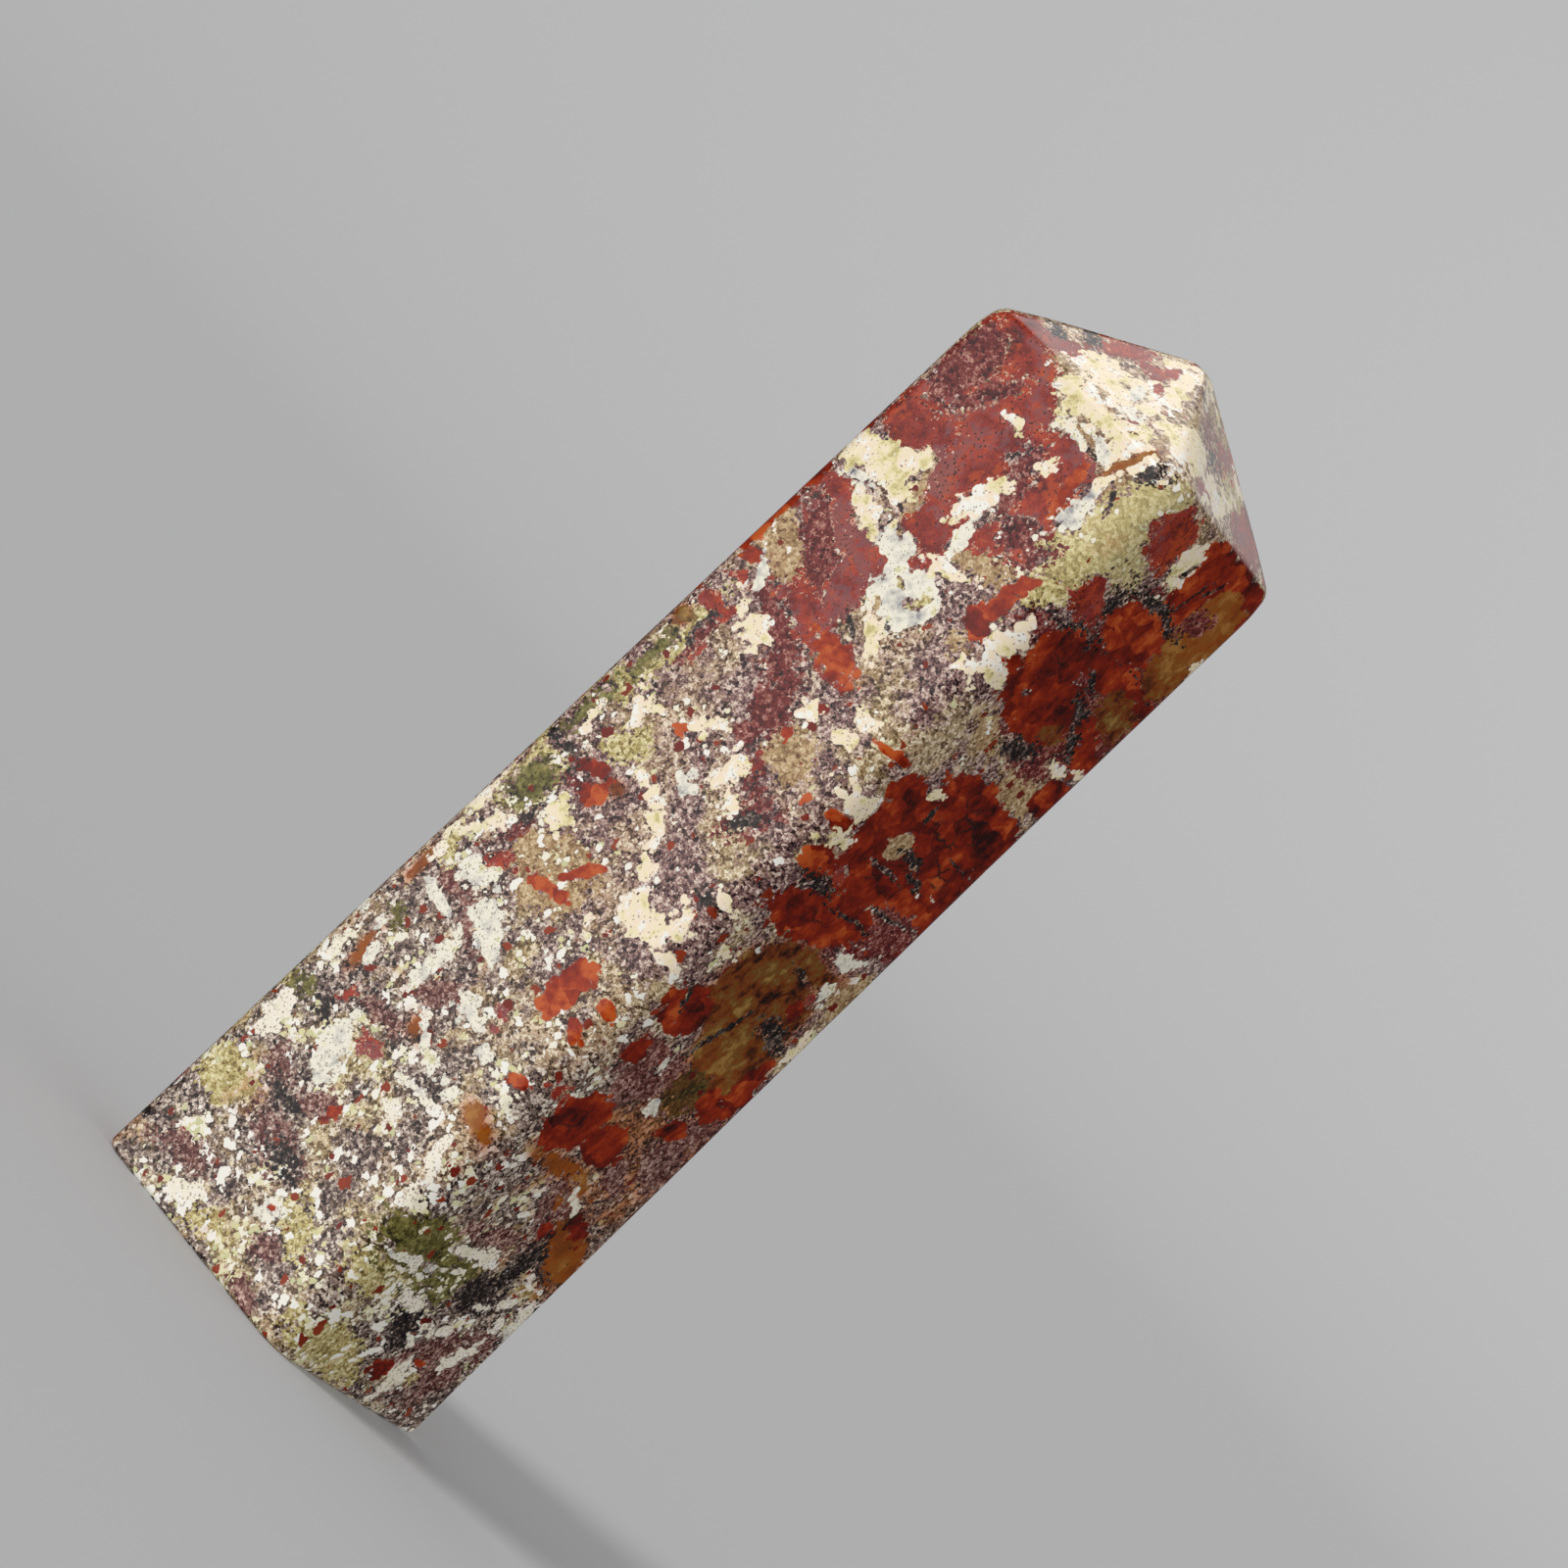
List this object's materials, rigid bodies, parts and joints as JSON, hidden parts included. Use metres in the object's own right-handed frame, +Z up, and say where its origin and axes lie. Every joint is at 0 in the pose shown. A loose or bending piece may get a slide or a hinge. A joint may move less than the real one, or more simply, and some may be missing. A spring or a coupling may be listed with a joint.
{
  "type": "polished stone tower",
  "caption": "Square-section tower of polished red moss agate with soft edges and a low pyramid tip, standing upright on its flat sawn base.",
  "frame": {"origin": "middle of the flat base", "axes": "+Z up the tower's axis from the base to the tip; +X, -X, +Y and -Y out of the four long faces"},
  "size_m": [0.0242, 0.0242, 0.1],
  "materials": {
    "polished_agate": "polished"
  },
  "bodies": {
    "root": {"agate_tower": "polished_agate"}
  },
  "joints": []
}
